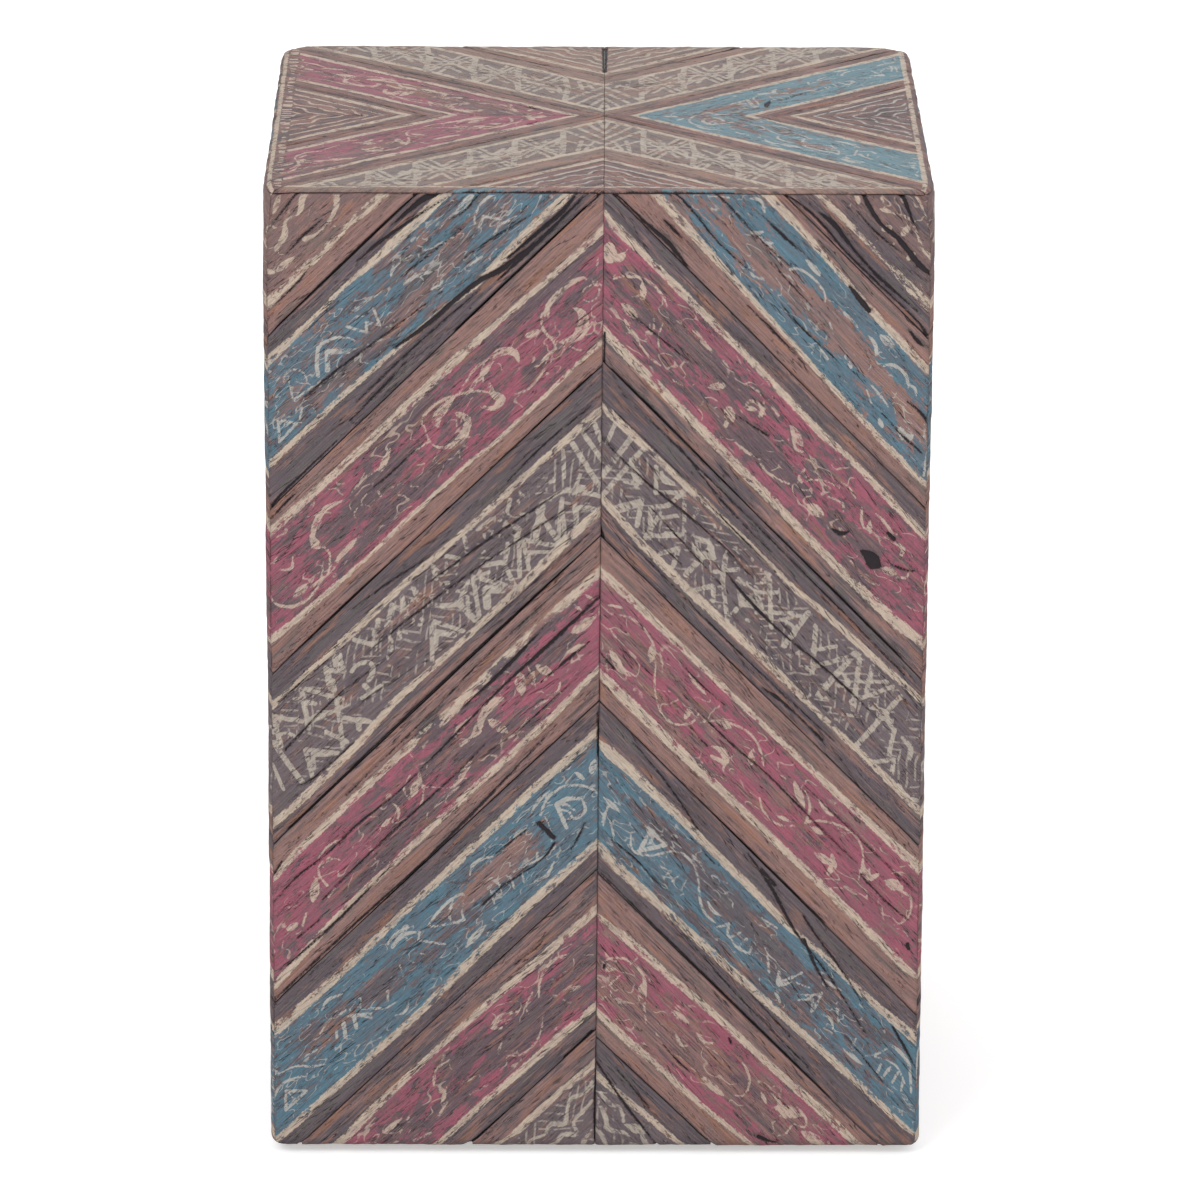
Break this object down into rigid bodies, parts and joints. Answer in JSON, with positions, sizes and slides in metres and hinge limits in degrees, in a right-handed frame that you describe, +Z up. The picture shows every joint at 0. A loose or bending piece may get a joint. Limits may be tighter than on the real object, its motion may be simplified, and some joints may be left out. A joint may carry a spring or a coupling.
{
  "type": "side table",
  "caption": "Square upright block side table clad in slanted painted boards that meet in chevrons on each side and in a cross on the flat top, on low hidden glides",
  "frame": {"origin": "on the floor under the middle of the block", "axes": "+Z up, the pictured front faces -Y, +X towards the viewer's right"},
  "size_m": [0.356, 0.356, 0.54],
  "materials": {
    "red_boards": "worn matte paint on wood",
    "blue_boards": "worn matte paint on wood",
    "grey_boards": "worn matte paint on wood",
    "brown_boards": "worn matte paint on wood",
    "plywood": "sanded, unfinished",
    "softwood": "planed, unfinished",
    "zinc_steel": "zinc plated",
    "glide_plastic": "moulded, matte"
  },
  "bodies": {
    "root": {"front_corner_2": "brown_boards", "front_corner_1": "blue_boards", "front_chevron_1": "red_boards", "front_chevron_2": "grey_boards", "front_chevron_3": "red_boards", "front_chevron_4": "blue_boards", "front_chevron_5": "red_boards", "front_chevron_6": "grey_boards", "back_corner_2": "brown_boards", "back_corner_1": "blue_boards", "back_chevron_1": "red_boards", "back_chevron_2": "grey_boards", "back_chevron_3": "red_boards", "back_chevron_4": "blue_boards", "back_chevron_5": "red_boards", "back_chevron_6": "grey_boards", "left_corner_2": "brown_boards", "left_corner_1": "blue_boards", "left_chevron_1": "red_boards", "left_chevron_2": "grey_boards", "left_chevron_3": "red_boards", "left_chevron_4": "blue_boards", "left_chevron_5": "red_boards", "left_chevron_6": "grey_boards", "right_corner_2": "brown_boards", "right_corner_1": "blue_boards", "right_chevron_1": "red_boards", "right_chevron_2": "grey_boards", "right_chevron_3": "red_boards", "right_chevron_4": "blue_boards", "right_chevron_5": "red_boards", "right_chevron_6": "grey_boards", "top_front_band_boards": "grey_boards", "top_front_end_boards": "grey_boards", "top_back_band_boards": "grey_boards", "top_back_end_boards": "grey_boards", "top_left_band_boards": "red_boards", "top_left_end_boards": "grey_boards", "top_right_band_boards": "blue_boards", "top_right_end_boards": "grey_boards", "front_wall": "plywood", "back_wall": "plywood", "left_wall": "plywood", "right_wall": "plywood", "deck": "plywood", "base_panel": "plywood", "corner_post_1": "softwood", "corner_post_2": "softwood", "corner_post_3": "softwood", "corner_post_4": "softwood", "base_cleats": "softwood", "wall_screws": "zinc_steel", "deck_screws": "zinc_steel", "cleat_screws": "zinc_steel", "glide_1": "glide_plastic", "glide_2": "glide_plastic", "glide_3": "glide_plastic", "glide_4": "glide_plastic", "glide_nails": "zinc_steel"}
  },
  "joints": []
}
